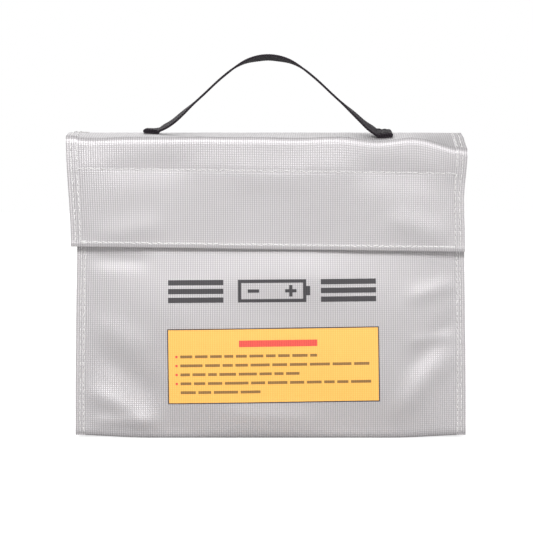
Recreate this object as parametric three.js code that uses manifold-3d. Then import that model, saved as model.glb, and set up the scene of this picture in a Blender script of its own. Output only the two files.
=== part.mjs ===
// Sewn fire-resistant storage bag for lithium batteries: coated glass-fibre cloth, a flap held shut
// by a wide hook-and-loop strip, and a carrying handle of woven webbing.
// Millimetres, +Z up, front towards -Y. The bag stands on its base at z = 0 with its flap closed.
import * as THREE from "three";
import { mergeVertices } from "three/addons/utils/BufferGeometryUtils.js";
import Module from "manifold-3d";

const wasm = await Module();
wasm.setup();

// Cloth, tape and thread
const CLOTH = 0.8; // coated glass-fibre cloth
const GAP = 0.3; // between layers that lie on each other
const TAPE = 1.2; // hook or loop tape with its pile
const THREAD = 0.4; // sewing thread, standing off the cloth
const THREAD_WIDTH = 0.8;
const THREAD_GAP = 0.15;
const PRINT = 0.2; // screen-printed ink film

// Body
const BODY_WIDTH = 240; // across the seam allowances
const BODY_DEPTH = 65;
const FRONT_HEIGHT = 180;
const BACK_HEIGHT = 186;
const SEAM_ALLOWANCE = 6;
const GUSSET_TUCK = 7; // how far the gusset's middle crease lies inwards
const SEAM_ROWS = [2.7, 5.2]; // distance of each row of stitches from the cloth's edge

// Flap
const FLAP_WIDTH = 242;
const FLAP_DROP = 66; // height of the part that hangs in front
const FLAP_SLOPE = THREE.MathUtils.degToRad(3); // the top falls towards the front
const LAP_HEIGHT = 16; // where the flap's cloth is sewn onto the back panel
const LAP_ROWS = [4, 12]; // stitches, measured from the lap's lower edge
const TAPE_HEIGHT = 50;
const HOOK_WIDTH = 236;
const LOOP_WIDTH = 222;
const TAPE_ROW = 2.6; // distance of the stitches from the tape's edge

// Handle
const STRAP_WIDTH = 20;
const STRAP = 1.3; // thickness of the webbing
const TAB_OUTER = 82; // half the distance between the handle's outer ends
const TAB_INNER = 69;
const STRAP_JOINT = 56; // distance from the middle to where the arch leans on each end
const STRAP_CLEARANCE = 0.65; // either side of that place, so the cut ends pass each other
const STRAP_CURVE = [
  // half of the arch's middle line: distance from the middle, height above the flap
  [0, 48],
  [12.5, 46.2],
  [22, 41.8],
  [32, 34.2],
  [43.5, 23.8],
  [55.5, 13.2],
  [63, 7.4],
  [69, 4.1],
  [74, 2.7],
];

// Printed panel and symbol on the front
const LABEL = { width: 130, height: 46, x: 1.8, z: 45 };
const SYMBOL = { width: 128, height: 13.8, x: 0.9, z: 90.5 };

// Layers outside the front panel, from the panel outwards: loop tape, hook tape, flap
const FRONT_STACK = GAP + TAPE + GAP + TAPE + GAP + CLOTH;
const BACK_STACK = GAP + CLOTH;
const THREAD_MIDDLE = THREAD_GAP + THREAD / 2; // from a cloth's face to the middle of its thread

// The body sits so that the whole bag, threads included, is centred on y = 0.
const BODY_Y = (FRONT_STACK - BACK_STACK) / 2;
const FRONT_Y = BODY_Y - BODY_DEPTH / 2; // outer face of the front panel
const BACK_Y = BODY_Y + BODY_DEPTH / 2;
const FLAP_FRONT_Y = FRONT_Y - FRONT_STACK; // outer face of the hanging flap
const HINGE_Y = BACK_Y + BACK_STACK; // outer top corner at the back
const HINGE_Z = BACK_HEIGHT + GAP + CLOTH;
const TOP_LENGTH = (HINGE_Y - FLAP_FRONT_Y) / Math.cos(FLAP_SLOPE);
const FOLD_Z = HINGE_Z - TOP_LENGTH * Math.sin(FLAP_SLOPE);
const FLAP_BOTTOM_Z = FOLD_Z - FLAP_DROP;

const colours = {
  cloth: { color: 0xcac7c9, roughness: 0.42, metalness: 0.35 },
  hook: { color: 0xd9d8d6, roughness: 0.9, metalness: 0 },
  loop: { color: 0xe2e1df, roughness: 1, metalness: 0 },
  webbing: { color: 0x2c282d, roughness: 0.85, metalness: 0 },
  thread: { color: 0xf2f0ea, roughness: 0.7, metalness: 0 },
  blackThread: { color: 0x1d1b1e, roughness: 0.8, metalness: 0 },
  yellow: { color: 0xfed374, roughness: 0.5, metalness: 0 },
  ink: { color: 0x474548, roughness: 0.5, metalness: 0 },
};
const materials = Object.fromEntries(
  Object.entries(colours).map(([name, look]) => [name, new THREE.MeshStandardMaterial(look)]),
);

// --- helpers -------------------------------------------------------------------------------------

function mesh(name, geometry, material) {
  const made = new THREE.Mesh(geometry, materials[material]);
  made.name = name;
  return made;
}

function box(x, y, z) {
  // x, y and z are [low, high]
  const geometry = new THREE.BoxGeometry(x[1] - x[0], y[1] - y[0], z[1] - z[0]);
  return geometry.translate((x[0] + x[1]) / 2, (y[0] + y[1]) / 2, (z[0] + z[1]) / 2);
}

function ribbon(points, thickness) {
  // The outline of a strip of even thickness along an open line of points, mitred at its corners
  const line = points.map(([a, b]) => new THREE.Vector2(a, b));
  const sides = line.slice(1).map((p, i) => {
    const along = p.clone().sub(line[i]).normalize();
    return new THREE.Vector2(-along.y, along.x);
  });
  const offsets = line.map((_, i) => {
    const before = sides[Math.max(i - 1, 0)];
    const after = sides[Math.min(i, sides.length - 1)];
    const mitre = before.clone().add(after).normalize();
    return mitre.multiplyScalar(thickness / 2 / mitre.dot(after));
  });
  const left = line.map((p, i) => p.clone().add(offsets[i]));
  const right = line.map((p, i) => p.clone().sub(offsets[i]));
  return new THREE.Shape([...left, ...right.reverse()]);
}

function extrude(shape, depth) {
  return new THREE.ExtrudeGeometry(shape, { depth, bevelEnabled: false, curveSegments: 8 });
}

function alongY(shape, width) {
  // A section drawn in (x, z), extruded along Y and centred on y = 0
  return extrude(shape, width).rotateX(Math.PI / 2).translate(0, width / 2, 0);
}

function mirroredX(geometry) {
  // The same solid on the other side of the bag, with its faces turned the right way out
  const copy = (geometry.index ? geometry.toNonIndexed() : geometry.clone()).scale(-1, 1, 1);
  const position = copy.getAttribute("position");
  for (let i = 0; i < position.count; i += 3) {
    const a = new THREE.Vector3().fromBufferAttribute(position, i);
    const b = new THREE.Vector3().fromBufferAttribute(position, i + 1);
    position.setXYZ(i, b.x, b.y, b.z);
    position.setXYZ(i + 1, a.x, a.y, a.z);
  }
  return copy;
}

function toManifold(geometry) {
  const bare = geometry.clone();
  bare.deleteAttribute("normal");
  bare.deleteAttribute("uv");
  const merged = mergeVertices(bare, 1e-4);
  const vertProperties = new Float32Array(merged.getAttribute("position").array);
  const triVerts = new Uint32Array(merged.getIndex().array);
  return new wasm.Manifold(new wasm.Mesh({ numProp: 3, vertProperties, triVerts }));
}

function fromManifold(solid) {
  const { vertProperties, triVerts } = solid.getMesh();
  const geometry = new THREE.BufferGeometry();
  geometry.setAttribute("position", new THREE.BufferAttribute(vertProperties, 3));
  geometry.setIndex(new THREE.BufferAttribute(triVerts, 1));
  return geometry;
}

function threadFrame([left, right], [low, high]) {
  // Stitching that runs round a rectangle and back to its start: the rows' middle lines are given,
  // in the plane (x, z), and the thread's thickness is centred on y = 0
  const rectangle = (grow) => [
    new THREE.Vector2(left - grow, low - grow),
    new THREE.Vector2(right + grow, low - grow),
    new THREE.Vector2(right + grow, high + grow),
    new THREE.Vector2(left - grow, high + grow),
  ];
  const shape = new THREE.Shape(rectangle(THREAD_WIDTH / 2));
  shape.holes.push(new THREE.Path(rectangle(-THREAD_WIDTH / 2)));
  return alongY(shape, THREAD);
}

function lyingFlat(geometry) {
  // Turns stitching drawn in (x, z) down onto a level surface: its z becomes -y
  return geometry.rotateX(Math.PI / 2);
}

// --- body ----------------------------------------------------------------------------------------

const halfBody = BODY_WIDTH / 2;
const INNER_FRONT_Y = FRONT_Y + CLOTH;
const INNER_BACK_Y = BACK_Y - CLOTH;

function frontPanel() {
  return box([-halfBody, halfBody], [FRONT_Y, INNER_FRONT_Y], [0, FRONT_HEIGHT]);
}

function backPanel() {
  return box([-halfBody, halfBody], [INNER_BACK_Y, BACK_Y], [0, BACK_HEIGHT]);
}

function bottomPanel() {
  return box([-halfBody, halfBody], [INNER_FRONT_Y + GAP, INNER_BACK_Y - GAP], [0, CLOTH]);
}

function gusset() {
  // The right-hand side: a wall creased inwards along its middle, with a seam allowance along its
  // front, back and lower edges
  const seamX = halfBody - SEAM_ALLOWANCE;
  const frontLine = INNER_FRONT_Y + GAP + CLOTH / 2;
  const backLine = INNER_BACK_Y - GAP - CLOTH / 2;
  const foot = CLOTH + GAP;
  const plan = ribbon(
    [
      [halfBody, frontLine],
      [seamX, frontLine],
      [seamX - GUSSET_TUCK, BODY_Y],
      [seamX, backLine],
      [halfBody, backLine],
    ],
    CLOTH,
  );
  const wall = extrude(plan, FRONT_HEIGHT - foot).translate(0, 0, foot);
  const flange = new THREE.Shape([
    new THREE.Vector2(halfBody, frontLine),
    new THREE.Vector2(halfBody, backLine),
    new THREE.Vector2(seamX, backLine),
    new THREE.Vector2(seamX - GUSSET_TUCK, BODY_Y),
    new THREE.Vector2(seamX, frontLine),
  ]);
  const footFlange = extrude(flange, CLOTH).translate(0, 0, foot);
  return fromManifold(toManifold(wall).add(toManifold(footFlange)));
}

function seamRows(edge) {
  // The middle lines of the two rows of a seam along the right-hand edge of a cloth
  return [edge - SEAM_ROWS[1], edge - SEAM_ROWS[0]];
}

function sideSeamThread(y, top) {
  return threadFrame(seamRows(halfBody), [4, top - 3]).translate(0, y, 0);
}

function baseSeamThread() {
  // Along the gusset's foot, at the right-hand end of the base
  const rows = threadFrame(seamRows(halfBody), [-INNER_BACK_Y + 4, -INNER_FRONT_Y - 4]);
  return lyingFlat(rows).translate(0, 0, 2 * CLOTH + GAP + THREAD_MIDDLE);
}

const LAP_Z = [BACK_HEIGHT - LAP_HEIGHT, BACK_HEIGHT];

function flapLap() {
  // The flap's fixed edge, sewn flat onto the outside of the back panel
  return box([-FLAP_WIDTH / 2, FLAP_WIDTH / 2], [BACK_Y + GAP, HINGE_Y], LAP_Z);
}

function flapLapThread() {
  const reach = FLAP_WIDTH / 2 - 3;
  const rows = threadFrame([-reach, reach], LAP_ROWS.map((row) => LAP_Z[0] + row));
  return rows.translate(0, HINGE_Y + THREAD_MIDDLE, 0);
}

function printedFilm({ width, height, x, z }) {
  // A printed area of the front panel, as a thin film standing just off the cloth
  const y = FRONT_Y - THREAD_GAP;
  return box([x - width / 2, x + width / 2], [y - PRINT, y], [z - height / 2, z + height / 2]);
}

// --- closure -------------------------------------------------------------------------------------

const TAPE_Z = [FLAP_BOTTOM_Z, FLAP_BOTTOM_Z + TAPE_HEIGHT];
const LOOP_FACE_Y = FRONT_Y - GAP - TAPE;

function loopStrip() {
  return box([-LOOP_WIDTH / 2, LOOP_WIDTH / 2], [LOOP_FACE_Y, FRONT_Y - GAP], TAPE_Z);
}

function hookStrip() {
  const back = LOOP_FACE_Y - GAP;
  return box([-HOOK_WIDTH / 2, HOOK_WIDTH / 2], [back - TAPE, back], TAPE_Z);
}

function tapeThread(width, y) {
  // The stitches that hold a tape, along all four of its edges
  const reach = width / 2 - TAPE_ROW;
  const rows = threadFrame([-reach, reach], [TAPE_Z[0] + TAPE_ROW, TAPE_Z[1] - TAPE_ROW]);
  return rows.translate(0, y, 0);
}

// --- flap, hanging part --------------------------------------------------------------------------

const halfFlap = FLAP_WIDTH / 2;

function flapFrontPanel() {
  return box([-halfFlap, halfFlap], [FLAP_FRONT_Y, FLAP_FRONT_Y + CLOTH], [FLAP_BOTTOM_Z, FOLD_Z]);
}

function flapHemThread() {
  // The right-hand edge: two rows above the tape, of which the outer one runs on down to the hem
  const aboveTape = TAPE_Z[1] + 1;
  const rows = threadFrame(seamRows(halfFlap), [aboveTape, FOLD_Z - 2]);
  const outer = halfFlap - SEAM_ROWS[0];
  const tail = box(
    [outer - THREAD_WIDTH / 2, outer + THREAD_WIDTH / 2],
    [-THREAD / 2, THREAD / 2],
    [FLAP_BOTTOM_Z + 3, aboveTape],
  );
  const joined = fromManifold(toManifold(rows).add(toManifold(tail)));
  return joined.translate(0, FLAP_FRONT_Y - THREAD_MIDDLE, 0);
}

// --- flap, top, and the handle -------------------------------------------------------------------
// These are drawn in the top's own frame: y runs forwards from the hinge as negative numbers, and
// z = 0 is the cloth's outer face.

const TOP_MIDDLE_Y = -TOP_LENGTH / 2;

function flapTopPanel() {
  // Stops short of the fold, where the hanging part turns about its outer corner
  return box([-halfFlap, halfFlap], [-(TOP_LENGTH - CLOTH - GAP), 0], [-CLOTH, 0]);
}

function flapTopThread() {
  const rows = threadFrame(seamRows(halfFlap), [3, TOP_LENGTH - 4]);
  return lyingFlat(rows).translate(0, 0, THREAD_MIDDLE);
}

function strapCurve() {
  const half = STRAP_CURVE.map(([x, z]) => new THREE.Vector3(x, z, 0));
  const other = half.slice(1).map((p) => new THREE.Vector3(-p.x, p.y, 0));
  return new THREE.CatmullRomCurve3([...other.reverse(), ...half], false, "centripetal");
}

function strapPoints(steps) {
  return strapCurve()
    .getSpacedPoints(steps)
    .map((p) => [p.x, p.y]);
}

function pointAtX(points, x) {
  // Where the line of points crosses the given x
  const i = points.findIndex((p, k) => k > 0 && (points[k - 1][0] - x) * (p[0] - x) <= 0);
  const [a, b] = [points[i - 1], points[i]];
  const share = (x - a[0]) / (b[0] - a[0]);
  return [x, a[1] + share * (b[1] - a[1])];
}

function handleStrap() {
  // The arch between the two lines about which it leans
  const points = strapPoints(64);
  const reach = STRAP_JOINT - STRAP_CLEARANCE;
  const line = [
    pointAtX(points, -reach),
    ...points.filter(([x]) => Math.abs(x) < reach - 1),
    pointAtX(points, reach),
  ];
  return alongY(ribbon(line, STRAP), STRAP_WIDTH).translate(0, TOP_MIDDLE_Y, 0);
}

function handleTab() {
  // The right-hand end: the webbing comes down from the arch, lies flat and is folded under itself
  const points = strapPoints(64);
  const reach = STRAP_JOINT + STRAP_CLEARANCE;
  const upper = points.filter(([x]) => x > reach + 1 && x < TAB_INNER);
  const layer = STRAP + GAP;
  const low = GAP + STRAP / 2;
  const rise = ribbon(
    [
      pointAtX(points, reach),
      ...upper,
      [TAB_INNER + 3, low + layer],
      [TAB_OUTER - 1.2, low + layer],
      [TAB_OUTER - STRAP / 2, low + layer / 2],
      [TAB_OUTER - 1.2, low],
      [TAB_INNER + 1, low],
    ],
    STRAP,
  );
  return alongY(rise, STRAP_WIDTH).translate(0, TOP_MIDDLE_Y, 0);
}

function handleTabThread() {
  // A box tack: four sides sewn through both layers of the webbing
  const reach = STRAP_WIDTH / 2 - 3;
  const rows = threadFrame([TAB_INNER + 4.5, TAB_OUTER - 2.8], [-reach, reach]);
  return lyingFlat(rows).translate(0, TOP_MIDDLE_Y, 2 * (GAP + STRAP) + THREAD_MIDDLE);
}

// --- assembly ------------------------------------------------------------------------------------

const bag = new THREE.Group();

bag.add(
  mesh("front_panel", frontPanel(), "cloth"),
  mesh("back_panel", backPanel(), "cloth"),
  mesh("bottom_panel", bottomPanel(), "cloth"),
  mesh("flap_back_lap", flapLap(), "cloth"),
  mesh("thread_flap_lap", flapLapThread(), "thread"),
  mesh("front_label_print", printedFilm(LABEL), "yellow"),
  mesh("front_symbol_print", printedFilm(SYMBOL), "ink"),
  mesh("loop_strip", loopStrip(), "loop"),
  mesh("thread_loop_strip", tapeThread(LOOP_WIDTH, INNER_FRONT_Y + THREAD_MIDDLE), "thread"),
  mesh("hook_strip", hookStrip(), "hook"),
  mesh("thread_hook_strip", tapeThread(HOOK_WIDTH, FLAP_FRONT_Y - THREAD_MIDDLE), "thread"),
  mesh("flap_front_panel", flapFrontPanel(), "cloth"),
);

const top = new THREE.Group();
top.position.set(0, HINGE_Y, HINGE_Z);
top.rotation.x = FLAP_SLOPE;
top.add(
  mesh("flap_top_panel", flapTopPanel(), "cloth"),
  mesh("handle_strap", handleStrap(), "webbing"),
);
bag.add(top);

const pairs = [
  [bag, "gusset", gusset(), "cloth"],
  [bag, "thread_front_seam", sideSeamThread(FRONT_Y - THREAD_MIDDLE, TAPE_Z[0]), "thread"],
  [bag, "thread_back_seam", sideSeamThread(BACK_Y + THREAD_MIDDLE, LAP_Z[0]), "thread"],
  [bag, "thread_base_seam", baseSeamThread(), "thread"],
  [bag, "thread_flap_hem", flapHemThread(), "thread"],
  [top, "thread_flap_top", flapTopThread(), "thread"],
  [top, "handle_tab", handleTab(), "webbing"],
  [top, "thread_handle_tab", handleTabThread(), "blackThread"],
];
for (const [parent, name, geometry, material] of pairs) {
  parent.add(
    mesh(`${name}_right`, geometry, material),
    mesh(`${name}_left`, mirroredX(geometry), material),
  );
}

export default bag;
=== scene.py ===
"""Looks of the cloth battery bag: coated weave, wrinkles, single stitches, tapes, webbing and prints.

Everything is in metres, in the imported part's frame: +Z up, front towards -Y. Each sheet is a grid of
points on its outer face, addressed by (u, v): u runs across the cloth and v along it, in metres, and
both are also its texture coordinates, so the weave bends with the cloth.
"""

import math

import bpy
import numpy as np
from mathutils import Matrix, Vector


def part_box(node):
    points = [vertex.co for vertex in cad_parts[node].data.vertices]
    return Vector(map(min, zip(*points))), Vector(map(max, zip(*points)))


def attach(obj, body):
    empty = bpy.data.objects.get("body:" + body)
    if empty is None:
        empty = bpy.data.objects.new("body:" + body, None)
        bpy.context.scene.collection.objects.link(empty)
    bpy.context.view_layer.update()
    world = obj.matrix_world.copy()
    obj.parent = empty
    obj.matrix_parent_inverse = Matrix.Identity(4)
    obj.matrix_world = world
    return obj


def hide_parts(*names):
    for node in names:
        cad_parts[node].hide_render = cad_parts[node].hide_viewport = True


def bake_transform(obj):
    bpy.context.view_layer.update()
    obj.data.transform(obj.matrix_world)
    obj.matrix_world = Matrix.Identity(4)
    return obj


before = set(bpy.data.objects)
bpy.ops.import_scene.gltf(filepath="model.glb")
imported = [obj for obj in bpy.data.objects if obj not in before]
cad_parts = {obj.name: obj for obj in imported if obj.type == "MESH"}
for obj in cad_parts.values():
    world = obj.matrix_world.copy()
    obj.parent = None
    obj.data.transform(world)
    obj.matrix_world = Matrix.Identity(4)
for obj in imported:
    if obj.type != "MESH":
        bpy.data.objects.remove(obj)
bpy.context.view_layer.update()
MM = 0.001

# --- places taken from the CAD part ---------------------------------------------------------------

front_low, front_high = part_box("front_panel")
back_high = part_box("back_panel")[1]
lap_low, lap_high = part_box("flap_back_lap")
flap_low, flap_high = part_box("flap_front_panel")
hook_low, hook_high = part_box("hook_strip")
loop_low, loop_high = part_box("loop_strip")
label_low, label_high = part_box("front_label_print")
symbol_low, symbol_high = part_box("front_symbol_print")

HALF_BODY = front_high.x
FRONT_Y, FRONT_TOP = front_low.y, front_high.z
BACK_Y, BACK_TOP = back_high.y, back_high.z
HALF_FLAP = flap_high.x
FLAP_FRONT_Y, FOLD_Z, HEM_Z = flap_low.y, flap_high.z, flap_low.z
HINGE_Y, HINGE_Z = lap_high.y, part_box("flap_top_panel")[1].z
LAP_LOW_Z = lap_low.z
TUCK_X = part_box("gusset_right")[0].x  # the crease of the side wall

# --- sizes of what only the looks show -------------------------------------------------------------

CLOTH = 0.7 * MM
TAPE = 1.1 * MM
TAPE_GAP = 0.1 * MM  # between a tape and its cloth
ALLOWANCE = 6 * MM  # turned edge of a seam or hem
SEAM_ROWS = (2.9 * MM, 5.1 * MM)  # the two rows of stitches, from the cloth's edge
TAPE_SEAM = 2.8 * MM  # the row that holds the hook tape, from the tape's edge
WARP_PITCH, WEFT_PITCH = 1.37 * MM, 1.27 * MM

STITCH_PITCH = 3.4 * MM
STITCH_LENGTH = 3.3 * MM
THREAD_RADIUS = 0.25 * MM
THREAD_SIDES = 6
# One stitch from end to end: shares of its length, heights over the cloth, and the thread's radii
STITCH_REACH = np.array([-0.5, -0.33, 0, 0.33, 0.5])
STITCH_RISE = np.array([-0.35, 0.22, 0.34, 0.22, -0.35]) * MM
STITCH_RADII = np.array([0.6, 1, 1.05, 1, 0.6]) * THREAD_RADIUS
ASKEW = np.array([0.31, 0.77, 0.55])  # added to a tube's direction, to find one across it

INK, INK_ROOT = 0.09 * MM, 0.1 * MM  # a printed layer's height, and how far it reaches into the cloth
INK_GRID = 2 * MM

STRAP_WIDTH = 20 * MM
STRAP_THICKNESS = 1.3 * MM
STRAP_RIB = 1.5 * MM
STRAP_SHIFT = -1.5 * MM  # the handle is sewn on slightly to the left of the middle
STRAP_LEAN = math.radians(8.5)  # how far the arch's top leans back from upright to the flap
ROOT_LEAN = math.radians(-6)  # the webbing twists forward just above its sewn ends

random = np.random.default_rng(7)


# --- small numeric helpers -------------------------------------------------------------------------


def smooth(t):
    """Rises smoothly from 0 to 1 as t goes from 0 to 1."""
    t = np.clip(t, 0, 1)
    return t * t * (3 - 2 * t)


def ridge(x, z, start, end, height, width):
    """A soft fold in cloth: a ridge along the line from start to end that fades at both ends."""
    (ax, az), (bx, bz) = start, end
    length = math.hypot(bx - ax, bz - az)
    along = ((x - ax) * (bx - ax) + (z - az) * (bz - az)) / length**2
    aside = ((x - ax) * (bz - az) - (z - az) * (bx - ax)) / length
    fade = smooth(along * 3) * smooth((1 - along) * 3)
    return height * fade * np.exp(-((aside / width) ** 2))


def ridges(x, z, folds):
    """All the soft folds of a list. Each is given in mm: start, end, height and width."""
    return sum(
        ridge(x, z, np.array(start) * MM, np.array(end) * MM, height * MM, width * MM)
        for start, end, height, width in folds
    )


def waves(x, z, seed, size, height):
    """Slow, irregular waviness: a few sine waves of random direction, about size long."""
    picks = np.random.default_rng(seed)
    total = np.zeros_like(x)
    for _ in range(7):
        angle, phase = picks.uniform(0, 2 * math.pi, 2)
        length = size * picks.uniform(0.6, 1.7)
        total += np.sin((x * math.cos(angle) + z * math.sin(angle)) * 2 * math.pi / length + phase)
    return height * total / 3


def rounded_line(corners, radius):
    """Points along a line of straight runs whose inner corners are rounded off."""
    corners = [np.array(c, float) for c in corners]
    points = [corners[0]]
    for before, corner, after in zip(corners, corners[1:], corners[2:]):
        back, on = before - corner, after - corner
        enter = corner + back / np.linalg.norm(back) * radius
        leave = corner + on / np.linalg.norm(on) * radius
        for t in np.linspace(0, 1, 9):
            points.append((1 - t) ** 2 * enter + 2 * t * (1 - t) * corner + t**2 * leave)
    return np.array([*points, corners[-1]])


def spline(points, count):
    """Evenly counted points on a smooth curve through the given ones (Catmull-Rom)."""
    p = np.array(points, float)
    p = np.vstack([2 * p[0] - p[1], p, 2 * p[-1] - p[-2]])
    found = []
    for t in np.linspace(0, len(points) - 1, count):
        i = min(int(t), len(points) - 2)
        a, b, c, d = p[i : i + 4]
        f = t - i
        square = 2 * a - 5 * b + 4 * c - d
        cube = 3 * b - a - 3 * c + d
        found.append(0.5 * (2 * b + (c - a) * f + square * f**2 + cube * f**3))
    return np.array(found)


class Line:
    """A line of points in a plane that can be read at any distance along it."""

    def __init__(self, points):
        self.points = np.array(points)
        steps = np.linalg.norm(np.diff(self.points, axis=0), axis=1)
        self.distances = np.concatenate([[0], np.cumsum(steps)])
        self.length = self.distances[-1]

    def at(self, distance):
        """The two coordinates at that distance from the start."""
        return [np.interp(distance, self.distances, self.points[:, k]) for k in (0, 1)]


def spaced(edges, fine, coarse, margin):
    """Grid lines between two edges: close together within margin of each edge, wider between."""
    low, high = edges
    side = np.linspace(0, margin, round(margin / fine), endpoint=False)
    count = max(2, round((high - low - 2 * margin) / coarse))
    middle = np.linspace(low + margin, high - margin, count)
    return np.concatenate([low + side, middle, (high - side)[::-1]])


# --- cloth -----------------------------------------------------------------------------------------


class Cloth:
    """A sheet as a grid of points on its outer face. Its normals point outwards."""

    def __init__(self, us, vs, shape):
        self.us, self.vs = us, vs
        u, v = np.meshgrid(us, vs)
        self.points = np.stack(shape(u, v), axis=-1)
        along_v, along_u = np.gradient(self.points, vs, us, axis=(0, 1))
        normals = np.cross(along_v, along_u)
        self.normals = normals / np.linalg.norm(normals, axis=-1, keepdims=True)

    def at(self, u, v, lift=0.0):
        """Points at (u, v), lift above the outer face."""
        u, v = np.broadcast_arrays(np.asarray(u, float), np.asarray(v, float))
        j = np.clip(np.searchsorted(self.us, u) - 1, 0, len(self.us) - 2)
        i = np.clip(np.searchsorted(self.vs, v) - 1, 0, len(self.vs) - 2)
        fu = ((u - self.us[j]) / (self.us[j + 1] - self.us[j]))[..., None]
        fv = ((v - self.vs[i]) / (self.vs[i + 1] - self.vs[i]))[..., None]

        def read(grid):
            low = grid[i, j] * (1 - fu) + grid[i, j + 1] * fu
            high = grid[i + 1, j] * (1 - fu) + grid[i + 1, j + 1] * fu
            return low * (1 - fv) + high * fv

        return read(self.points) + np.asarray(lift)[..., None] * read(self.normals)


class Parts:
    """Collects closed solids into one mesh, with texture coordinates."""

    def __init__(self):
        self.points, self.faces, self.uvs = [], [], []

    def add(self, points, faces, uvs):
        """Adds one closed solid."""
        start = sum(len(p) for p in self.points)
        self.points.append(np.asarray(points))
        self.uvs.append(np.asarray(uvs))
        self.faces += [[start + k for k in face] for face in faces]

    def add_slab(self, top, bottom, uv):
        """A closed slab between two grids of points, rows along v and columns along u."""
        rows, columns = top.shape[:2]
        index = np.arange(rows * columns).reshape(rows, columns)
        corners = [index[:-1, :-1], index[1:, :-1], index[1:, 1:], index[:-1, 1:]]
        quads = np.stack(corners, -1).reshape(-1, 4)
        under = quads[:, ::-1] + rows * columns
        edge = np.concatenate([index[:, 0], index[-1, 1:], index[-2::-1, -1], index[0, -2:0:-1]])
        following = np.roll(edge, -1)
        rim = np.stack([following, edge, edge + rows * columns, following + rows * columns], -1)
        points = np.concatenate([top.reshape(-1, 3), bottom.reshape(-1, 3)])
        faces = np.concatenate([quads, under, rim]).tolist()
        self.add(points, faces, np.tile(uv.reshape(-1, 2), (2, 1)))

    def add_tube(self, line, radii, uv_start):
        """A closed round tube along a few points."""
        line = np.asarray(line)
        along = np.gradient(line, axis=0)
        along /= np.linalg.norm(along, axis=1, keepdims=True)
        side = np.cross(along, along[0] + ASKEW)
        side /= np.linalg.norm(side, axis=1, keepdims=True)
        up = np.cross(side, along)
        turn = np.arange(THREAD_SIDES) * 2 * math.pi / THREAD_SIDES
        ring = np.cos(turn)[None, :, None] * side[:, None] + np.sin(turn)[None, :, None] * up[:, None]
        points = line[:, None] + ring * np.asarray(radii)[:, None, None]
        n = THREAD_SIDES
        turned = np.dot(np.cross(ring[0, 0], ring[0, 1]), along[0]) > 0
        first = list(range(n))
        faces = [first[::-1] if turned else first]
        for i in range(len(line) - 1):
            for k in range(n):
                quad = [i * n + k, i * n + (k + 1) % n, (i + 1) * n + (k + 1) % n, (i + 1) * n + k]
                faces.append(quad if turned else quad[::-1])
        last = [(len(line) - 1) * n + k for k in range(n)]
        faces.append(last if turned else last[::-1])
        v = np.repeat(np.arange(len(line)) * STITCH_LENGTH / len(line), n)
        u = np.tile(turn * radii[1], len(line))
        self.add(points.reshape(-1, 3), faces, np.stack([u, v], -1) + uv_start)

    def build(self, name, material):
        """Makes one object of everything that was added."""
        mesh = bpy.data.meshes.new(name)
        points = np.concatenate(self.points)
        mesh.from_pydata(points.tolist(), [], self.faces)
        uvs = np.concatenate(self.uvs)
        corner = np.zeros(len(mesh.loops), np.int32)
        mesh.loops.foreach_get("vertex_index", corner)
        layer = mesh.uv_layers.new(name="UVMap")
        layer.data.foreach_set("uv", uvs[corner].astype(np.float32).ravel())
        mesh.polygons.foreach_set("use_smooth", np.ones(len(mesh.polygons), bool))
        mesh.set_sharp_from_angle(angle=math.radians(50))
        mesh.materials.append(material)
        made = bpy.data.objects.new(name, mesh)
        bpy.context.scene.collection.objects.link(made)
        return made


def cloth_slab(parts, cloth, us, vs, top, bottom):
    """Adds the part of a cloth at those grid lines, between two heights over its outer face."""
    u, v = np.meshgrid(us, vs)
    parts.add_slab(cloth.at(u, v, top), cloth.at(u, v, bottom), np.stack([u, v], -1))


def cloth_object(name, cloth, vs, material):
    """The cloth itself, from its outer face inwards."""
    parts = Parts()
    cloth_slab(parts, cloth, cloth.us, vs, 0.0, -CLOTH)
    return parts.build(name, material)


def add_stitches(parts, cloth, corners, lift=0.0, below=False, wobble=0.25 * MM):
    """A row of single stitches along straight runs between the corners, given as (u, v)."""
    sign = -1 if below else 1
    heights = STITCH_RISE * sign + lift
    for (u0, v0), (u1, v1) in zip(corners, corners[1:]):
        run = math.hypot(u1 - u0, v1 - v0)
        count = max(1, round(run / STITCH_PITCH))
        pitch = run / count
        direction = np.array([u1 - u0, v1 - v0]) / run
        aside = np.array([-direction[1], direction[0]])
        for k in range(count):
            length = min(STITCH_LENGTH, pitch * 0.97) * random.uniform(0.97, 1.03)
            middle = (k + 0.5) * pitch
            reach = middle + STITCH_REACH * length
            slant = random.normal(0, wobble * 0.5) + np.linspace(-1, 1, 5) * random.normal(0, wobble)
            spots = np.array([u0, v0]) + reach[:, None] * direction + slant[:, None] * aside
            line = cloth.at(spots[:, 0], spots[:, 1], heights)
            parts.add_tube(line, STITCH_RADII, (u0, v0 + k * pitch))


# --- materials -------------------------------------------------------------------------------------


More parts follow.
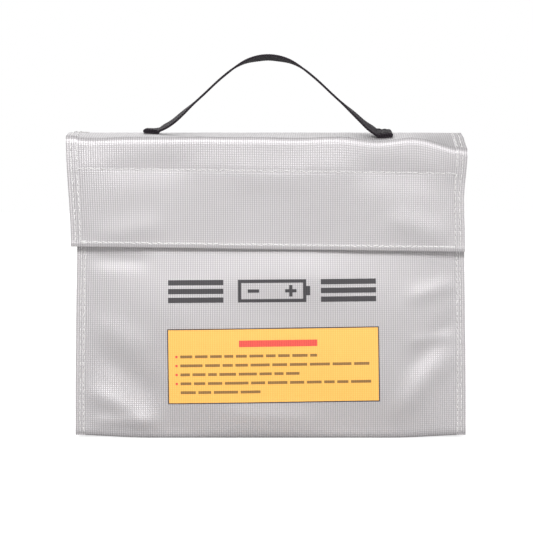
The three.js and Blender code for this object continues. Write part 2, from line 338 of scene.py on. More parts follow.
class Nodes:
    """Short ways to build a node tree whose pattern lies in the cloth's own coordinates."""

    def __init__(self, name):
        self.material = bpy.data.materials.new(name)
        self.material.use_nodes = True
        self.tree = self.material.node_tree
        self.shader = self.tree.nodes["Principled BSDF"]
        uv = self.tree.nodes.new("ShaderNodeUVMap")
        uv.uv_map = "UVMap"
        self.uv = uv.outputs["UV"]
        split = self.tree.nodes.new("ShaderNodeSeparateXYZ")
        self.link(self.uv, split.inputs[0])
        self.u, self.v = split.outputs["X"], split.outputs["Y"]

    def link(self, source, target):
        self.tree.links.new(source, target)

    def math(self, operation, *values):
        node = self.tree.nodes.new("ShaderNodeMath")
        node.operation = operation
        for socket, value in zip(node.inputs, values):
            if isinstance(value, (int, float)):
                socket.default_value = value
            else:
                self.link(value, socket)
        return node.outputs[0]

    def wave(self, distance, pitch):
        """sin of half a turn per pitch: its size is one thread's profile, its sign the over-under."""
        return self.math("SINE", self.math("MULTIPLY", distance, math.pi / pitch))

    def noise(self, scale, detail):
        node = self.tree.nodes.new("ShaderNodeTexNoise")
        node.inputs["Scale"].default_value = scale
        node.inputs["Detail"].default_value = detail
        self.link(self.uv, node.inputs["Vector"])
        return node.outputs["Fac"]

    def colour(self, factor, low, high):
        mix = self.tree.nodes.new("ShaderNodeMix")
        mix.data_type = "RGBA"
        self.link(factor, mix.inputs["Factor"])
        mix.inputs["A"].default_value = (*low, 1)
        mix.inputs["B"].default_value = (*high, 1)
        self.link(mix.outputs["Result"], self.shader.inputs["Base Color"])

    def bump(self, height, distance):
        node = self.tree.nodes.new("ShaderNodeBump")
        node.inputs["Distance"].default_value = distance
        self.link(height, node.inputs["Height"])
        self.link(node.outputs[0], self.shader.inputs["Normal"])

    def finish(self, roughness, metallic=0.0, sheen=0.0, specular=0.5):
        self.shader.inputs["Roughness"].default_value = roughness
        self.shader.inputs["Metallic"].default_value = metallic
        self.shader.inputs["Sheen Weight"].default_value = sheen
        self.shader.inputs["Specular IOR Level"].default_value = specular
        return self.material


def woven(name, low, high, roughness, metallic, relief=0.12 * MM):
    """Plain weave under a coating: pillow-shaped crossings, with the warp a little prouder."""
    nodes = Nodes(name)
    warp, weft = nodes.wave(nodes.u, WARP_PITCH), nodes.wave(nodes.v, WEFT_PITCH)
    over = nodes.math("MULTIPLY", warp, weft)
    pillow = nodes.math("ABSOLUTE", over)
    stripe = nodes.math("ABSOLUTE", warp)
    height = nodes.math("ADD", nodes.math("MULTIPLY", pillow, 0.6), nodes.math("MULTIPLY", stripe, 0.4))
    nodes.colour(height, low, high)
    nodes.bump(height, relief)
    return nodes.finish(roughness, metallic)


def ink(name, low, high):
    """Matt printed ink, which softens the weave under it."""
    return woven(name, low, high, roughness=0.55, metallic=0.0, relief=0.10 * MM)


def tape_pile(name, low, high, scale, depth):
    """The pile of a hook or loop tape: dense small tufts."""
    nodes = Nodes(name)
    tufts = nodes.noise(scale, 1.0)
    nodes.colour(tufts, low, high)
    nodes.bump(tufts, depth)
    return nodes.finish(0.95, sheen=0.3)


def webbing():
    """Black woven webbing: cross ribs whose halves slant against each other."""
    slant_width, column_pitch = 2.5 * MM, 1.25 * MM
    nodes = Nodes("black_webbing")
    across = nodes.math("PINGPONG", nodes.u, slant_width)
    slanted = nodes.math("ADD", nodes.v, nodes.math("MULTIPLY", across, 0.6))
    rib = nodes.math("ABSOLUTE", nodes.wave(slanted, STRAP_RIB))
    column = nodes.math("ABSOLUTE", nodes.wave(nodes.u, column_pitch))
    height = nodes.math("ADD", nodes.math("MULTIPLY", rib, 0.7), nodes.math("MULTIPLY", column, 0.3))
    nodes.colour(height, (0.005, 0.003, 0.005), (0.024, 0.017, 0.024))
    nodes.bump(height, 0.3 * MM)
    return nodes.finish(0.7, sheen=0.03, specular=0.22)


def thread(name, low, high):
    """Sewing thread, with the slanting strands of its twist."""
    strand_pitch = 0.45 * MM
    nodes = Nodes(name)
    twist = nodes.math("ADD", nodes.v, nodes.math("MULTIPLY", nodes.u, 0.8))
    strands = nodes.math("ABSOLUTE", nodes.wave(twist, strand_pitch))
    nodes.colour(strands, low, high)
    nodes.bump(strands, 0.08 * MM)
    return nodes.finish(0.6)


silver = woven(
    "silver_coated_weave", (0.35, 0.335, 0.345), (0.61, 0.59, 0.60), roughness=0.48, metallic=0.45
)
yellow = ink("yellow_ink", (0.86, 0.43, 0.08), (1.0, 0.54, 0.13))
dark = ink("dark_ink", (0.025, 0.023, 0.026), (0.06, 0.056, 0.062))
red = ink("red_ink", (0.62, 0.06, 0.045), (0.86, 0.10, 0.075))
brown = ink("brown_ink", (0.20, 0.11, 0.03), (0.32, 0.18, 0.05))
loops = tape_pile("loop_pile", (0.50, 0.50, 0.48), (0.86, 0.86, 0.84), scale=1800, depth=0.5 * MM)
hooks = tape_pile("hook_pile", (0.42, 0.42, 0.41), (0.78, 0.78, 0.76), scale=1300, depth=0.7 * MM)
black_webbing = webbing()
white_thread = thread("white_thread", (0.68, 0.67, 0.66), (0.93, 0.92, 0.91))
black_thread = thread("black_thread", (0.004, 0.004, 0.005), (0.03, 0.027, 0.03))


# --- body ------------------------------------------------------------------------------------------


BASE_WIDTH = 0.992  # the body's width at its base, as a share of the cloth's flat width
TAPER = 0.03  # how much of that share is lost on the way up to the mouth
SLUMP = 8 * MM  # how far the slack right front corner sinks
MOUTH_CLEARANCE = 2.5 * MM
SWELL = 5.5 * MM
SIDE_LIFT = 1.6 * MM  # how far the base rises off the floor at its two sides

# Folds, in mm: start (x, z), end (x, z), height and width. A height below 0 is a hollow.
FRONT_FOLDS = (
    ((-118, 32), (-62, 4), 1.9, 7),
    ((-112, 56), (-60, 20), -1.2, 8),
    ((-114, 74), (-70, 50), 1.0, 9),
    ((-114, 10), (-66, 10), 1.4, 4),
    ((116, 58), (70, 8), 1.4, 7),
    ((117, 78), (78, 36), -1.0, 6),
    ((117, 64), (82, 58), 0.8, 3.5),
    ((117, 96), (80, 84), 1.0, 5),
    ((-117, 110), (-70, 108), -0.9, 5),
    ((-40, 15), (40, 12), 0.7, 6),
    ((-60, 94), (60, 98), 0.8, 12),
)
BACK_FOLDS = (
    ((112, 10), (60, 50), 1.6, 7),
    ((-112, 12), (-50, 44), 1.4, 7),
    ((-110, 110), (-60, 130), -1.2, 8),
)
FLAP_FOLDS = (
    ((-112, 164), (-40, 168), -1.0, 9),
    ((110, 158), (40, 166), -1.2, 10),
    ((112, 122), (66, 136), 1.0, 8),
    ((-112, 122), (-60, 132), 0.7, 7),
    ((-30, 160), (30, 158), 0.5, 10),
)


def drawn_in(z):
    """The body's width at a height, as a share of the cloth's flat width."""
    return BASE_WIDTH - TAPER * (z / FRONT_TOP) ** 2


def slump(x):
    """How far the right front corner of the mouth and of the flap sinks at x."""
    return SLUMP * smooth((x - 84 * MM) / (40 * MM)) ** 1.2


def mouth_sink(x, z):
    """How far the front of the mouth hangs below its flat height, so the closed flap clears it."""
    return (slump(x) + MOUTH_CLEARANCE) * smooth((z - 110 * MM) / (70 * MM))


def front_bulge(x, z):
    """How far the front swells outwards at (x, z). The back swells a little less."""
    across = 1 - np.clip(np.abs(x) / (HALF_BODY - ALLOWANCE), 0, 1) ** 2.4
    up = np.sin(math.pi * np.clip(z / (150 * MM), 0, 1)) ** 1.1
    return SWELL * across * up


def front_creases(x, z):
    """Wrinkles of the front: pulls from the lower corners and the side seams, and slow waves."""
    inside = smooth((HALF_BODY - ALLOWANCE - np.abs(x)) / (14 * MM))
    return ridges(x, z, FRONT_FOLDS) + inside * waves(x, z, 3, 85 * MM, 0.5 * MM)


def seam_pucker(edge_distance, along, rows):
    """Cloth drawn in along rows of stitches, deeper where the thread was pulled tighter."""
    depth = 0.3 * MM * (0.7 + 0.3 * np.sin(along / (1.9 * MM)) * np.sin(along / (3.1 * MM)))
    return sum(depth * np.exp(-(((edge_distance - row) / (0.9 * MM)) ** 2)) for row in rows)


shell_line = Line(
    rounded_line([(FRONT_Y, FRONT_TOP), (FRONT_Y, 0), (BACK_Y, 0), (BACK_Y, BACK_TOP)], 3.5 * MM)
)


def shell_shape(u, v):
    """Front, bottom and back as one strip, from the front's top edge round to the back's."""
    y, z = shell_line.at(v)
    front = smooth((FRONT_TOP - v) / (6 * MM))
    back = smooth((v - (shell_line.length - BACK_TOP)) / (6 * MM))
    edge = HALF_BODY - np.abs(u)
    swell = front_bulge(u, z) + front_creases(u, z) - seam_pucker(edge, z, SEAM_ROWS)
    back_waves = smooth(edge / (20 * MM)) * waves(u, z, 11, 80 * MM, 0.8 * MM)
    swell_back = 0.8 * front_bulge(u, z) + back_waves
    swell_back += ridges(u, z, BACK_FOLDS) - seam_pucker(edge, z, SEAM_ROWS)
    corner = smooth((np.abs(u) / HALF_BODY - 0.62) / 0.38) * np.exp(-z / (25 * MM))
    x = u * drawn_in(z)
    sunk = (v < shell_line.length / 2) * mouth_sink(u, z)
    return x, y - front * swell + back * swell_back, z + SIDE_LIFT * corner - sunk


across_body = spaced((-HALF_BODY, HALF_BODY), 0.75 * MM, 2.4 * MM, 9 * MM)
shell = Cloth(across_body, np.linspace(0, shell_line.length, 200), shell_shape)
shell_object = cloth_object("body_cloth", shell, shell.vs, silver)
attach(shell_object, "bag")
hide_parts("front_panel", "bottom_panel", "back_panel")


def on_front(z):
    """The shell's v at a height on the front."""
    return FRONT_TOP - z


def on_back(z):
    """The shell's v at a height on the back."""
    return shell_line.length - (BACK_TOP - z)


def gusset_shape(side):
    """A side wall creased inwards along its middle. Side is 1 on the right and -1 on the left."""
    seam_x, edge_x = HALF_BODY - ALLOWANCE, HALF_BODY - 0.5 * MM
    tuck_x = TUCK_X + CLOTH
    middle_y = (FRONT_Y + BACK_Y) / 2
    reach = (BACK_Y - FRONT_Y) / 2 - 1.3 * MM
    plan = Line(
        rounded_line(
            [
                (edge_x, middle_y + reach),
                (seam_x, middle_y + reach),
                (tuck_x, middle_y),
                (seam_x, middle_y - reach),
                (edge_x, middle_y - reach),
            ],
            2 * MM,
        )
    )

    def shape(u, v):
        x, y = plan.at(u)
        # The edges sewn to the panels stay flat. The wall between them waves and is drawn in.
        free = smooth(np.minimum(u, plan.length - u) / ALLOWANCE - 0.6)
        x = x + free * (waves(y, v, 20 + side, 50 * MM, 0.5 * MM) - 1.5 * MM * smooth(v / FRONT_TOP))
        x = np.where(x > seam_x, x * drawn_in(v), x)
        y = side * (y - middle_y) + middle_y
        sunk = mouth_sink(side * x, v) * smooth((middle_y - y) / reach)
        return side * x, y, v - sunk

    return plan.length, shape


def gusset(name, side):
    """One side wall. Its two edges lie against the front and the back, where they are sewn."""
    length, shape = gusset_shape(side)
    us = np.linspace(0, length, 64)
    wall = Cloth(us, np.linspace(2.0 * MM, FRONT_TOP - 0.5 * MM, 84), shape)
    made = cloth_object(name + "_wall", wall, wall.vs, silver)
    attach(made, "bag")
    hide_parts(name)


for name, side in (("gusset_right", 1), ("gusset_left", -1)):
    gusset(name, side)


# --- flap ------------------------------------------------------------------------------------------

flap_line = Line(
    rounded_line(
        [(HINGE_Y, LAP_LOW_Z), (HINGE_Y, HINGE_Z), (FLAP_FRONT_Y, FOLD_Z), (FLAP_FRONT_Y, HEM_Z)],
        4.5 * MM,
    )
)
HEM_V = flap_line.length
FOLD_V = HEM_V - (FOLD_Z - HEM_Z)
BACK_FOLD_V = HINGE_Z - LAP_LOW_Z
SPLIT_V = (BACK_FOLD_V + FOLD_V) / 2


def on_flap(z):
    """The flap's v at a height on its hanging part."""
    return HEM_V - (z - HEM_Z)


FLAP_TAPER, FLAP_SHIFT = 0.016, 1.6 * MM  # the hanging front is drawn in, and sits to the left
HEM_SLOPE = 3.2 * MM  # how much lower the hem hangs at its right end than at its left
SEWN_X = 70 * MM  # the handle is sewn down about this far from the middle


def flap_sag(u, top, hanging):
    """How far the cloth hangs below its flat height, most at the slack right front corner."""
    at_fold = slump(u) + 2 * MM * np.exp(-(((u - 67 * MM) / (13 * MM)) ** 2))
    at_hem = HEM_SLOPE * np.clip(u / (2 * HALF_FLAP) + 0.5, 0, 1)
    return top * ((1 - hanging) * at_fold + hanging * at_hem)


def flap_x(u, v, top, down):
    """The cloth drawn in sideways. Both edges flare at the fold, and the right one is pinched."""
    flare = np.where(u < 0, 2.8 * MM, -1.0 * MM) * (np.abs(u) / HALF_FLAP) ** 4
    flare = flare * smooth(top / 0.4) * (1 - smooth(down))
    by_pinch = np.exp(-(((v - on_flap(150 * MM)) / (16 * MM)) ** 2))
    pinch = 1.2 * MM * by_pinch * smooth((u - 100 * MM) / (20 * MM))
    return u * (1 - FLAP_TAPER * top) - FLAP_SHIFT * top - flare - pinch


def hem_rise(edge, low_edge):
    """The turned hems: a step along each side, and a rolled low edge that is rounded off."""
    sides = 0.7 * MM * smooth((ALLOWANCE + 0.8 * MM - edge) / (0.7 * MM))
    rolled = 0.4 * MM * smooth((3.4 * MM - low_edge) / (2.4 * MM))
    return sides + rolled - 0.7 * MM * smooth(1 - low_edge / MM)


def crown(x, y, u, edge, top):
    """How far the flap's top rises: slow waves, a raised left end and a pull at the handle's right."""
    sewn = np.exp(-(((np.abs(u) - SEWN_X) / (18 * MM)) ** 2))
    slow = waves(x, y, 9, 60 * MM, 0.5 * MM) * smooth(edge / (15 * MM)) * (1 - sewn)
    left_end = 2.4 * MM * np.sin(math.pi * top) * smooth((-u - 50 * MM) / (40 * MM))
    pull = 1.5 * MM * np.sin(2 * math.pi * (0.5 - top)) * sewn * (u > 0)
    return slow + left_end + pull


def flap_shape(u, v):
    """Lap, top and hanging front of the flap, with its slack right front corner."""
    y, z = flap_line.at(v)
    top = np.clip((v - BACK_FOLD_V) / (FOLD_V - BACK_FOLD_V), 0, 1)
    down = np.clip((v - FOLD_V) / (HEM_V - FOLD_V), 0, 1)
    hanging = smooth((v - FOLD_V) / (20 * MM))
    edge = HALF_FLAP - np.abs(u)
    x = flap_x(u, v, top, down)
    z = z - flap_sag(u, top, hanging)

    # The front stands out over the tapes under it, most at the fold and in the middle.
    across = 1 - np.clip(np.abs(u) / HALF_FLAP, 0, 1) ** 2
    out = smooth((v - FOLD_V) / (18 * MM) + 1) * (6.0 - 3.6 * down) * MM * (0.55 + 0.45 * across)
    hem = hem_rise(edge, HEM_V - v)
    slow = 0.8 * MM + waves(x, z, 5, 80 * MM, 0.35 * MM)
    puckers = seam_pucker(edge, v, SEAM_ROWS)
    over_tape = smooth((edge - 8 * MM) / MM)
    puckers += seam_pucker(v - on_flap(hook_high.z), u, (TAPE_SEAM,)) * over_tape
    folds = ridges(x, z, FLAP_FOLDS)
    swell = hanging * (hem - puckers + folds + slow * smooth(edge / (12 * MM)))
    near_fold = top * (1 - smooth((v - FOLD_V) / (30 * MM)))
    corner = 2.5 * MM * smooth((u - 90 * MM) / (30 * MM)) * near_fold
    rise = top * (1 - hanging) * (crown(x, y, u, edge, top) + hem)
    return x, y - out - swell - corner * top, z + rise


across_flap = spaced((-HALF_FLAP, HALF_FLAP), 0.75 * MM, 2.2 * MM, 9 * MM)
# The grid's stops along the flap and the number of lines from each to the next, denser at the folds
stops = (
    0, BACK_FOLD_V - 5 * MM, BACK_FOLD_V + 5 * MM, SPLIT_V, FOLD_V - 5 * MM, FOLD_V + 6 * MM, HEM_V
)
stretches = zip(stops, stops[1:], (9, 15, 15, 15, 18, 44))
flap_vs = np.unique(np.concatenate([np.linspace(low, high, count) for low, high, count in stretches]))
flap = Cloth(across_flap, flap_vs, flap_shape)
flap_back = cloth_object("flap_cloth_back", flap, flap_vs[flap_vs <= SPLIT_V + 1e-9], silver)
flap_front = cloth_object("flap_cloth_front", flap, flap_vs[flap_vs >= SPLIT_V - 1e-9], silver)
for made, nodes in (
    (flap_back, ("flap_back_lap", "flap_top_panel")),
    (flap_front, ("flap_front_panel", "flap_top_panel")),
):
    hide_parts(*nodes)
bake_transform(flap_back)
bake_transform(flap_front)


# --- hook and loop tapes ---------------------------------------------------------------------------


def tape(name, node, cloth, half_width, v_range, top, material, body):
    """A strip of tape lying on a cloth, its upper face at that height over the cloth's outer face."""
    parts = Parts()
    us, vs = np.linspace(-half_width, half_width, 90), np.linspace(*v_range, 26)
    cloth_slab(parts, cloth, us, vs, top, top - TAPE)
    made = parts.build(name, material)
    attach(made, body)
    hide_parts(node)


LOOP_TOP, HOOK_TOP = TAPE + TAPE_GAP, -CLOTH - TAPE_GAP
tape(
    "loop_tape", "loop_strip", shell, loop_high.x,
    (on_front(loop_high.z), on_front(loop_low.z)), LOOP_TOP, loops, "bag",
)
tape(
    "hook_tape", "hook_strip", flap, hook_high.x,
    (on_flap(hook_high.z), on_flap(hook_low.z + 0.6 * MM)), HOOK_TOP, hooks, "flap_front",
)


# --- stitching -------------------------------------------------------------------------------------


# On which face of a cloth a row of stitches lies
OUTSIDE = {"lift": 0.0}
INSIDE = {"lift": -CLOTH, "below": True}


def stitched(node, rows, body, material=white_thread):
    """The stitches that stand for one CAD node. Each row is (cloth, corners, options)."""
    parts = Parts()
    for cloth, corners, options in rows:
        add_stitches(parts, cloth, corners, **options)
    made = parts.build(node + "_stitches", material)
    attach(made, body)
    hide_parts(node)


def rectangle(u_range, v_range):
    """The corners of a closed rectangle of stitches."""
    (u0, u1), (v0, v1) = u_range, v_range
    return [(u0, v0), (u1, v0), (u1, v1), (u0, v1), (u0, v0)]


def tape_rectangle(high, low, inset, on_cloth):
    """The rectangle that holds a tape, inside the box between its two corners in the frame."""
    reach = high.x - inset
    return rectangle((-reach, reach), (on_cloth(high.z - inset), on_cloth(low.z + inset)))


def back_tack(u, v):
    """A few stitches sewn to and fro over each other where a seam starts or ends."""
    half = 2.2 * MM
    return [(u - half, v - 0.5 * MM), (u + half, v), (u - half, v + 0.5 * MM), (u + half, v + MM)]


def body_seams(side, name):
    """The double rows down one side of the front, down the back and across the base's end."""
    seam = [side * (HALF_BODY - row) for row in SEAM_ROWS]
    front = (on_front(FRONT_TOP - 3 * MM), on_front(2.5 * MM))
    back = (on_back(2.5 * MM), on_back(LAP_LOW_Z - 2 * MM))
    base = (FRONT_TOP + 5 * MM, shell_line.length - BACK_TOP - 5 * MM)
    sunk_in = {"lift": -0.1 * MM}  # the base rests on the floor, so its stitches lie in the cloth
    for part, (start, end), faces in (
        ("front", front, (OUTSIDE,)),
        ("back", back, (OUTSIDE,)),
        ("base", base, (INSIDE, sunk_in)),
    ):
        rows = [(shell, [(u, start), (u, end)], face) for u in seam for face in faces]
        stitched(f"thread_{part}_seam_{name}", rows, "bag")


def flap_hems(side, name):
    """The double rows along one side of the flap's hanging front and of its top."""
    outer, inner = [side * (HALF_FLAP - row) for row in (SEAM_ROWS[0], SEAM_ROWS[1] + 0.9 * MM)]
    hanging = (
        [(outer, FOLD_V + 2 * MM), (outer, HEM_V - 2.5 * MM)],
        [(inner, FOLD_V + 2 * MM), (inner, on_flap(hook_high.z) - MM)],
    )
    over_top = [[(u, BACK_FOLD_V + 4 * MM), (u, FOLD_V - 3 * MM)] for u in (outer, inner)]
    loose = {"wobble": 0.3 * MM}
    stitched(
        f"thread_flap_hem_{name}",
        [(flap, row, face | loose) for row in hanging for face in (OUTSIDE, INSIDE)],
        "flap_front",
    )
    stitched(
        f"thread_flap_top_{name}",
        [(flap, row, face) for row in over_top for face in (OUTSIDE, INSIDE)],
        "flap_top",
    )


for side, name in ((1, "right"), (-1, "left")):
    body_seams(side, name)
    flap_hems(side, name)

hook_rows = tape_rectangle(hook_high, hook_low, TAPE_SEAM, on_flap)
tack = back_tack(-(hook_high.x - 4.6 * MM), on_flap(hook_low.z + 3.2 * MM))
stitched(
    "thread_hook_strip",
    [
        (flap, hook_rows, OUTSIDE),
        (flap, hook_rows, {"lift": HOOK_TOP - TAPE, "below": True}),
        (flap, tack, OUTSIDE),
    ],
    "flap_front",
)
loop_rows = tape_rectangle(loop_high, loop_low, 2.6 * MM, on_front)
stitched(
    "thread_loop_strip",
    [(shell, loop_rows, {"lift": LOOP_TOP}), (shell, loop_rows, INSIDE)],
    "bag",
)
lap_reach = HALF_FLAP - 3 * MM
lap_rows = rectangle((-lap_reach, lap_reach), (4 * MM, 12 * MM))
stitched("thread_flap_lap", [(flap, lap_rows, OUTSIDE)], "bag")


# --- printing --------------------------------------------------------------------------------------


class Print:
    """Flat printed shapes on the front, drawn in (x, z) about a centre and turned a little."""

    def __init__(self, centre, angle):
        self.centre, self.angle = centre, angle

    def add_bar(self, parts, x0, x1, z0, z1, layer=1):
        """A rectangle of ink. A higher layer lies over a lower one."""
        columns = max(2, math.ceil((x1 - x0) / INK_GRID) + 1)
        rows = max(2, math.ceil((z1 - z0) / INK_GRID) + 1)
        a, b = np.meshgrid(np.linspace(x0, x1, columns), np.linspace(z1, z0, rows))
        x = self.centre[0] + a * math.cos(self.angle) - b * math.sin(self.angle)
        z = self.centre[1] + a * math.sin(self.angle) + b * math.cos(self.angle)
        u, v = x, on_front(z)
        parts.add_slab(shell.at(u, v, layer * INK), shell.at(u, v, -INK_ROOT), np.stack([u, v], -1))

    def add_frame(self, parts, half_width, half_height, line, layer=1):
        """The outline of a rectangle."""
        for sign in (-1, 1):
            low, high = sorted((sign * half_width, sign * (half_width - line)))
            self.add_bar(parts, low, high, -half_height, half_height, layer)
            low, high = sorted((sign * half_height, sign * (half_height - line)))
            self.add_bar(parts, -half_width + line, half_width - line, low, high, layer)


def printed(name, parts, material, node=None):
    """One colour of a print. The first colour of a print stands for its CAD node."""
    made = parts.build(name, material)
    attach(made, "bag")
    if node:
        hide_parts(node)


def print_area(low, high):
    """The centre and the half sizes of a printed area, in (x, z)."""
    centre = ((low.x + high.x) / 2, (low.z + high.z) / 2)
    return centre, (high.x - low.x) / 2, (high.z - low.z) / 2


centre, half_width, half_height = print_area(label_low, label_high)
label = Print(centre, math.radians(0.8))
panel, border, heading, text = Parts(), Parts(), Parts(), Parts()
label.add_bar(panel, -half_width, half_width, -half_height, half_height)
label.add_frame(border, half_width, half_height, 0.6 * MM, layer=2)

# A plain red heading bar, and rows of short bars with a red mark before each entry
label.add_bar(heading, -21 * MM, 27 * MM, 11.6 * MM, 15.6 * MM, layer=2)
LINE_START, FIRST_LINE, LINE_PITCH = -57.2 * MM, 5.2 * MM, 5.5 * MM
BAR_HEIGHT, BAR_GAP, SHORTEST_BAR = 1.7 * MM, 1.6 * MM, 3 * MM
LINES = ((84, True), (116, True), (73, True), (117, True), (49, False))  # length in mm, marked
for row, (length, marked) in enumerate(LINES):
    z = FIRST_LINE - row * LINE_PITCH
    x, end = LINE_START, LINE_START + length * MM
    if marked:
        label.add_bar(heading, x - 3.0 * MM, x - 1.6 * MM, z + 0.1 * MM, z + 1.5 * MM, layer=2)
    while x < end - SHORTEST_BAR:
        word = min(random.uniform(5, 15) * MM, end - x)
        label.add_bar(text, x, x + word, z, z + BAR_HEIGHT, layer=2)
        x += word + BAR_GAP

printed("label_ground", panel, yellow, "front_label_print")
printed("label_border", border, dark)
printed("label_heading", heading, red)
printed("label_text", text, brown)

# A plain battery outline with its two poles between plain bars
CASE, BARS_FROM = 21 * MM, 30 * MM  # half the battery's width, and where the bars beside it start
centre, half_width, half_height = print_area(symbol_low, symbol_high)
symbol = Print(centre, math.radians(0.5))
symbol_parts = Parts()
symbol.add_frame(symbol_parts, CASE, half_height, 2.0 * MM)
symbol.add_bar(symbol_parts, CASE, CASE + 2.4 * MM, -2.8 * MM, 2.8 * MM)
# A level bar for each pole, and an upright bar across the right one
for middle in (-11.5, 11.5):
    symbol.add_bar(symbol_parts, (middle - 3.5) * MM, (middle + 3.5) * MM, -1 * MM, 1 * MM)
symbol.add_bar(symbol_parts, 10.5 * MM, 12.5 * MM, -3.5 * MM, 3.5 * MM)
for sign in (-1, 1):
    low, high = sorted((sign * half_width, sign * BARS_FROM))
    for level in (-5.3, 0, 5.3):
        symbol.add_bar(symbol_parts, low, high, (level - 1.6) * MM, (level + 1.6) * MM)
printed("symbol", symbol_parts, dark, "front_symbol_print")


# --- handle ----------------------------------------------------------------------------------------

# Half of the arch's middle line over the flap's top, in mm: distance from the middle, height
ARCH = ((0, 48), (11, 46.2), (20, 41.8), (29.8, 34.2), (41, 23.8), (52.8, 13.2), (60, 7), (65, 3.9))
JOINT_HEIGHT = 12.9 * MM
SEWN_FROM, SEWN_TO = 67.5 * MM, 77 * MM  # the webbing's folded end, sewn to the flap
layer_height = STRAP_THICKNESS + 0.2 * MM  # from one layer of the folded end to the next
low_layer = 0.25 * MM + STRAP_THICKNESS / 2  # middle of the lower layer, over the flap
over_middle = (-ARCH[1][0], ARCH[1][1])  # keeps the arch level where its two halves meet
arch = spline([over_middle, *ARCH], 90) * MM
arch = arch[arch[:, 0] >= 0]
fold_radius = layer_height / 2
fold_x, fold_height = SEWN_TO - fold_radius - STRAP_THICKNESS / 2, low_layer + fold_radius
fold = [
    (fold_x + fold_radius * math.sin(turn), fold_height + fold_radius * math.cos(turn))
    for turn in np.linspace(0, math.pi, 9)
]
strap_start, upper_end = (0, ARCH[0][1] * MM), (SEWN_FROM, low_layer + layer_height)
strap_line = Line([strap_start, *arch, upper_end, *fold, (SEWN_FROM, low_layer)])
top_middle = Vector((0, (HINGE_Y + FLAP_FRONT_Y) / 2, (HINGE_Z + FOLD_Z) / 2))
slope = math.atan2(HINGE_Z - FOLD_Z, HINGE_Y - FLAP_FRONT_Y)


def lift_of_top(x, y):
    """How far the flap's top stands above or below the plane between its two folds."""
    top = (HINGE_Y - y) / (HINGE_Y - FLAP_FRONT_Y)
    u = (x + FLAP_SHIFT * top) / (1 - FLAP_TAPER * top)
    surface = flap.at(u, BACK_FOLD_V + top * (FOLD_V - BACK_FOLD_V))
    return surface[..., 2] - (HINGE_Z - top * (HINGE_Z - FOLD_Z))


def strap_shape(side):
    """Half of the handle: flat where it is sewn on, then twisted forwards, then leaning back."""

    def shape(u, v):
        x, height = strap_line.at(v)
        ribs = np.abs(np.sin(math.pi * v / STRAP_RIB))
        width = u * (1 + 0.012 * ribs)
        lean = STRAP_LEAN * (1.1 * smooth((26 * MM - x) / (22 * MM)) - 0.1)
        lean = lean + ROOT_LEAN * smooth((x - 44 * MM) / (12 * MM)) * smooth((72 * MM - x) / (8 * MM))
        over = height - JOINT_HEIGHT
        y = width * np.cos(lean) + over * np.sin(lean)
        z = over * np.cos(lean) - width * np.sin(lean) + JOINT_HEIGHT
        y_turned = top_middle.y + y * math.cos(slope) - z * math.sin(slope)
        z_turned = top_middle.z + y * math.sin(slope) + z * math.cos(slope)
        x = side * x + STRAP_SHIFT
        near_end = smooth((np.abs(x) - 50 * MM) / (14 * MM))
        return x, y_turned, z_turned + lift_of_top(x, y_turned) * near_end

    return shape


strap_vs = np.arange(0, strap_line.length, 0.375 * MM)
strap_us = np.linspace(-STRAP_WIDTH / 2, STRAP_WIDTH / 2, 15)
for side, name in ((1, "right"), (-1, "left")):
    half = Cloth(side * strap_us[::side], strap_vs, strap_shape(side))
    parts = Parts()
    u, v = np.meshgrid(half.us, half.vs)
    ribbed = STRAP_THICKNESS / 2 * (0.86 + 0.14 * np.abs(np.sin(math.pi * v / STRAP_RIB)))
    parts.add_slab(half.at(u, v, ribbed), half.at(u, v, -ribbed), np.stack([u, v], -1))
    made = parts.build(f"handle_webbing_{name}", black_webbing)
    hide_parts("handle_strap", f"handle_tab_{name}")
    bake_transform(made)
    upper = strap_line.distances[np.argmin(np.abs(strap_line.points[:, 0] - SEWN_FROM))]
    tab_rows = rectangle((-7 * MM, 7 * MM), (upper, upper + 6.5 * MM))
    stitched(
        f"thread_handle_tab_{name}",
        [(half, tab_rows, {"lift": STRAP_THICKNESS / 2})],
        "flap_top", black_thread,
    )


# --- studio ----------------------------------------------------------------------------------------


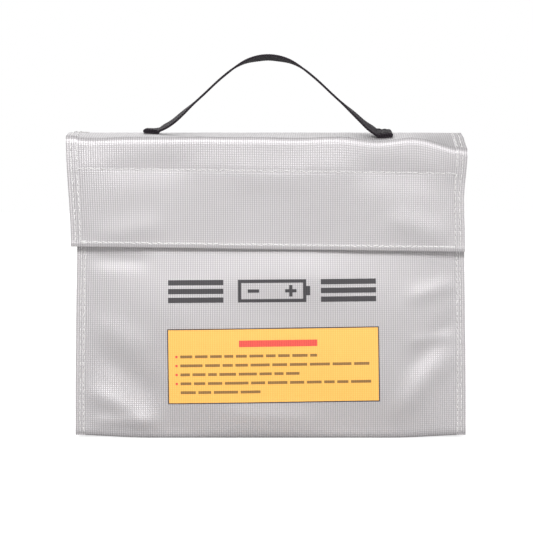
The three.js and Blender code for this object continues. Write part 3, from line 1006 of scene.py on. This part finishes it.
def studio():
    """Pale floor, white surroundings and four soft lights."""
    bpy.ops.mesh.primitive_plane_add(size=8, location=(0, 1.0, -0.2 * MM))
    floor = bpy.context.object
    floor.name = "floor"
    paper = bpy.data.materials.new("lit_white_paper")
    paper.use_nodes = True
    shader = paper.node_tree.nodes["Principled BSDF"]
    shader.inputs["Base Color"].default_value = (0.6, 0.6, 0.6, 1)
    shader.inputs["Roughness"].default_value = 0.9
    shader.inputs["Emission Color"].default_value = (1, 1, 1, 1)
    # Only the camera sees the paper's own brightness, so it doesn't light the bag from below.
    path = paper.node_tree.nodes.new("ShaderNodeLightPath")
    glow = paper.node_tree.nodes.new("ShaderNodeMath")
    glow.operation = "MULTIPLY"
    glow.inputs[1].default_value = 0.85
    paper.node_tree.links.new(path.outputs["Is Camera Ray"], glow.inputs[0])
    paper.node_tree.links.new(glow.outputs[0], shader.inputs["Emission Strength"])
    floor.data.materials.append(paper)

    scene = bpy.context.scene
    world = scene.world or bpy.data.worlds.new("World")
    scene.world = world
    world.use_nodes = True
    tree = world.node_tree
    background = tree.nodes["Background"]
    background.inputs["Color"].default_value = (1, 1, 1, 1)
    background.inputs["Strength"].default_value = 0.4
    # The camera sees a brighter white than the one that lights the bag.
    seen = tree.nodes.new("ShaderNodeBackground")
    seen.inputs["Color"].default_value = (1, 1, 1, 1)
    path, mix = tree.nodes.new("ShaderNodeLightPath"), tree.nodes.new("ShaderNodeMixShader")
    tree.links.new(path.outputs["Is Camera Ray"], mix.inputs["Fac"])
    tree.links.new(background.outputs[0], mix.inputs[1])
    tree.links.new(seen.outputs[0], mix.inputs[2])
    tree.links.new(mix.outputs[0], tree.nodes["World Output"].inputs["Surface"])
    scene.view_settings.view_transform = "Standard"

    target = Vector((0, 0, 0.10))
    for name, place, size, power in (
        ("key_light", (-0.3, -1.5, 1.05), 0.5, 25.5),
        ("fill_light", (1.4, -1.3, 0.5), 0.8, 8),
        ("top_light", (0.1, -0.3, 1.5), 0.9, 3),
        ("back_light", (-0.3, 1.7, 0.9), 1.3, 8),
    ):
        light = bpy.data.lights.new(name, "AREA")
        light.energy, light.size = power, size
        made = bpy.data.objects.new(name, light)
        scene.collection.objects.link(made)
        made.location = place
        made.rotation_euler = (target - Vector(place)).to_track_quat("-Z", "Y").to_euler()


def camera():
    """A long lens in front of the bag, a little above its middle."""
    distance, height, frame_width = 1.3, 0.173, 0.3238
    aim = Vector((-2.5 * MM, FRONT_Y, 0.1050))
    place = Vector((aim.x, FRONT_Y - distance, height))
    data = bpy.data.cameras.new("camera")
    data.sensor_width = 36
    data.lens = data.sensor_width * (place - aim).length / frame_width
    made = bpy.data.objects.new("camera", data)
    bpy.context.scene.collection.objects.link(made)
    made.location = place
    made.rotation_euler = (aim - place).to_track_quat("-Z", "Y").to_euler()
    bpy.context.scene.camera = made


studio()
camera()
